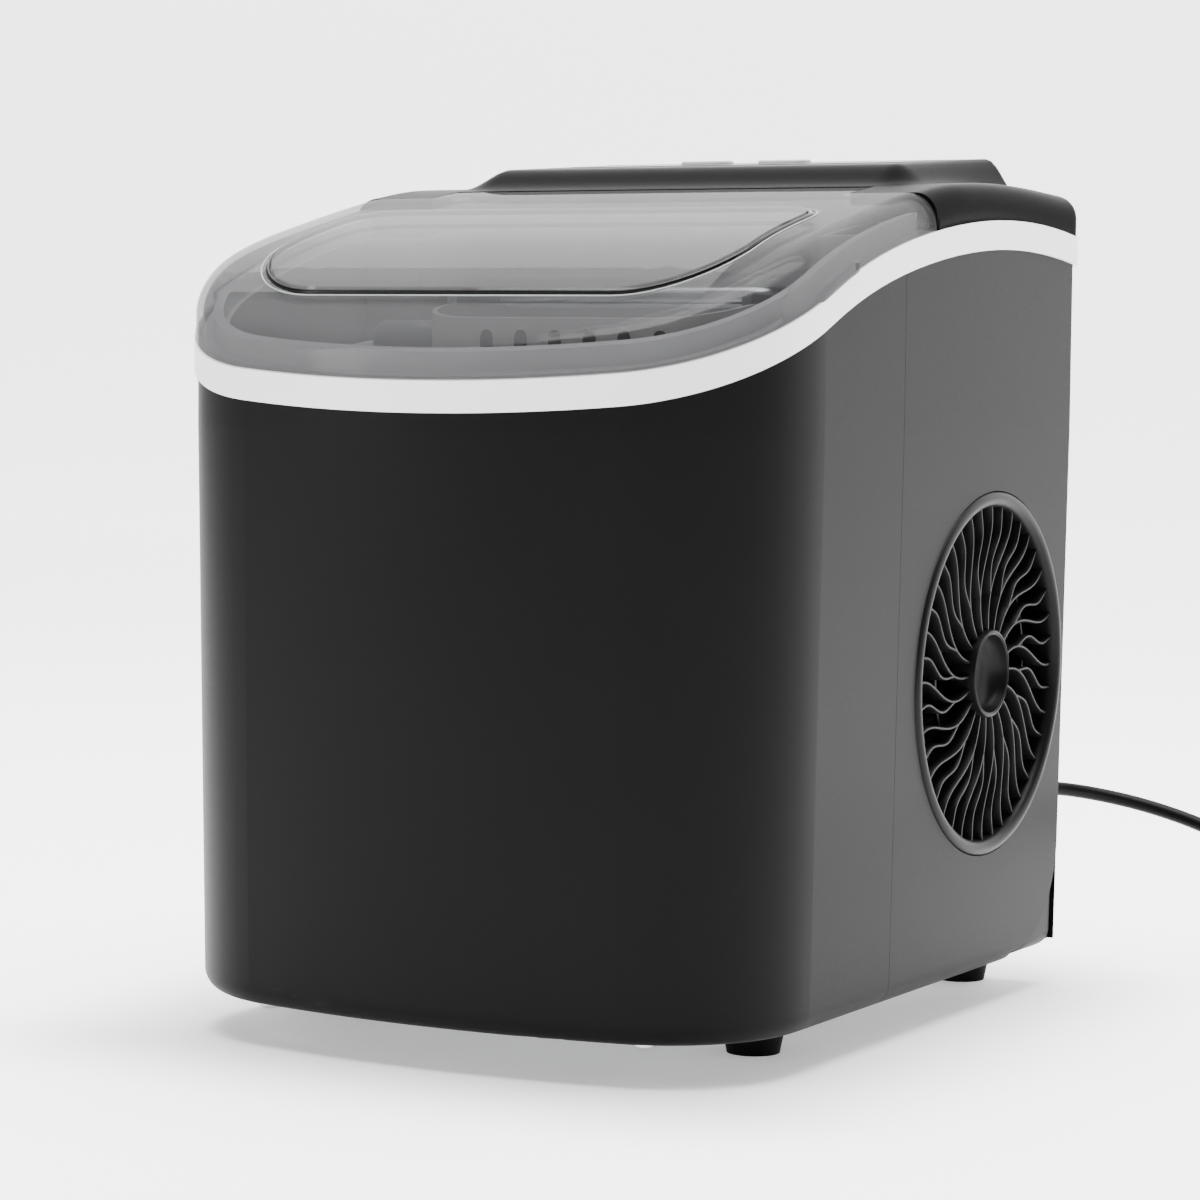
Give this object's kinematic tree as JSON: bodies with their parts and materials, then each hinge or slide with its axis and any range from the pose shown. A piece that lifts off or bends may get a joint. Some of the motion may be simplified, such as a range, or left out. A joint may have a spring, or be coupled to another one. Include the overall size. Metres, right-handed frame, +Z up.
{
  "type": "countertop ice maker",
  "caption": "Tall countertop ice maker with a domed clear lid, dark body, silver trim band, side fan grille and rear power cord.",
  "frame": {"origin": "centre of the body's footprint at the level of the feet, without the free cord", "axes": "+X to the right when facing the front, +Y to the rear, +Z up"},
  "size_m": [0.4559, 0.4724, 0.3238],
  "materials": {
    "shell_black": "gloss",
    "trim_silver": "satin",
    "lid_clear": "gloss",
    "overlay_grey": "satin",
    "button_grey": "satin",
    "lamp": "gloss",
    "board_green": "matte",
    "switch_black": "matte",
    "grille_black": "satin",
    "fan_grey": "satin",
    "steel": "brushed",
    "zinc_sheet": "satin",
    "compressor_black": "satin",
    "copper": "satin",
    "aluminium": "satin",
    "chrome": "polished",
    "white_plastic": "satin",
    "foam": "matte",
    "grey_plastic": "satin",
    "sensor_black": "gloss",
    "silicone": "matte",
    "rubber_black": "matte",
    "cord_black": "satin"
  },
  "bodies": {
    "machine": {"front_shell": "shell_black", "right_side_panel": "shell_black", "left_side_panel": "shell_black", "rear_cover": "shell_black", "trim_band": "trim_silver", "top_cover": "shell_black", "hinge_pins": "steel", "control_overlay": "overlay_grey", "indicator_lights": "lamp", "control_board": "board_green", "button_switches": "switch_black", "fan_grille": "grille_black", "fan_motor": "steel", "motor_bracket": "zinc_sheet", "condenser": "aluminium", "compressor": "compressor_black", "compressor_mounts": "rubber_black", "terminal_cover": "switch_black", "discharge_pipe": "copper", "liquid_pipe": "copper", "filter_drier": "copper", "water_tub": "white_plastic", "foam_jacket": "foam", "ice_basket": "white_plastic", "tray_motor": "steel", "evaporator": "aluminium", "evaporator_brackets": "zinc_sheet", "flap_pin": "steel", "ice_sensor_housing": "grey_plastic", "ice_sensor_eye": "sensor_black", "overflow_spout": "grey_plastic", "water_pump": "grey_plastic", "water_hose": "silicone", "level_switch_stem": "grey_plastic", "drain_fitting": "grey_plastic", "drain_hose": "silicone", "suction_pipe": "copper", "capillary_tube": "copper", "base_pan": "zinc_sheet", "rubber_feet": "rubber_black", "shell_screws": "chrome", "rear_screws": "chrome", "power_board": "board_green", "board_rails": "zinc_sheet", "strain_relief": "cord_black", "power_cord": "cord_black", "cord_tail": "cord_black", "cord_coil": "cord_black", "power_plug": "cord_black", "plug_pins": "chrome"},
    "lid": {"lid": "lid_clear"},
    "power_key": {"power_button": "button_grey"},
    "select_key": {"select_button": "button_grey"},
    "fan": {"fan_rotor": "fan_grey"},
    "tray": {"water_tray": "white_plastic", "tray_shaft": "steel"},
    "flap": {"ice_flap": "grey_plastic"},
    "float": {"level_float": "white_plastic"},
    "drain": {"drain_plug": "rubber_black"}
  },
  "joints": [
    {"name": "lid_hinge", "type": "hinge", "parent": "machine", "child": "lid", "pos_m": [0, 0.0245, 0.3038], "axis": [-1, 0, 0], "range_deg": [0, 100]},
    {"name": "power_button_press", "type": "slide", "parent": "machine", "child": "power_key", "axis": [0, 0.0673, -0.9977], "range_m": [0, 0.0012], "stiffness_N_per_m": 800},
    {"name": "select_button_press", "type": "slide", "parent": "machine", "child": "select_key", "axis": [0, 0.0673, -0.9977], "range_m": [0, 0.0012], "stiffness_N_per_m": 800},
    {"name": "fan_spin", "type": "hinge", "parent": "machine", "child": "fan", "pos_m": [0.1, 0.0691, 0.1278], "axis": [1, 0, 0], "continuous": true},
    {"name": "tray_tilt", "type": "hinge", "parent": "machine", "child": "tray", "pos_m": [0, 0.048, 0.236], "axis": [1, 0, 0], "range_deg": [0, 50]},
    {"name": "flap_swing", "type": "hinge", "parent": "machine", "child": "flap", "pos_m": [0, -0.015, 0.261], "axis": [-1, 0, 0], "range_deg": [0, 22]},
    {"name": "float_rise", "type": "slide", "parent": "machine", "child": "float", "axis": [0, 0, 1], "range_m": [0, 0.028]},
    {"name": "drain_plug_pull", "type": "slide", "parent": "machine", "child": "drain", "axis": [-1, 0, 0], "range_m": [0, 0.015]}
  ]
}
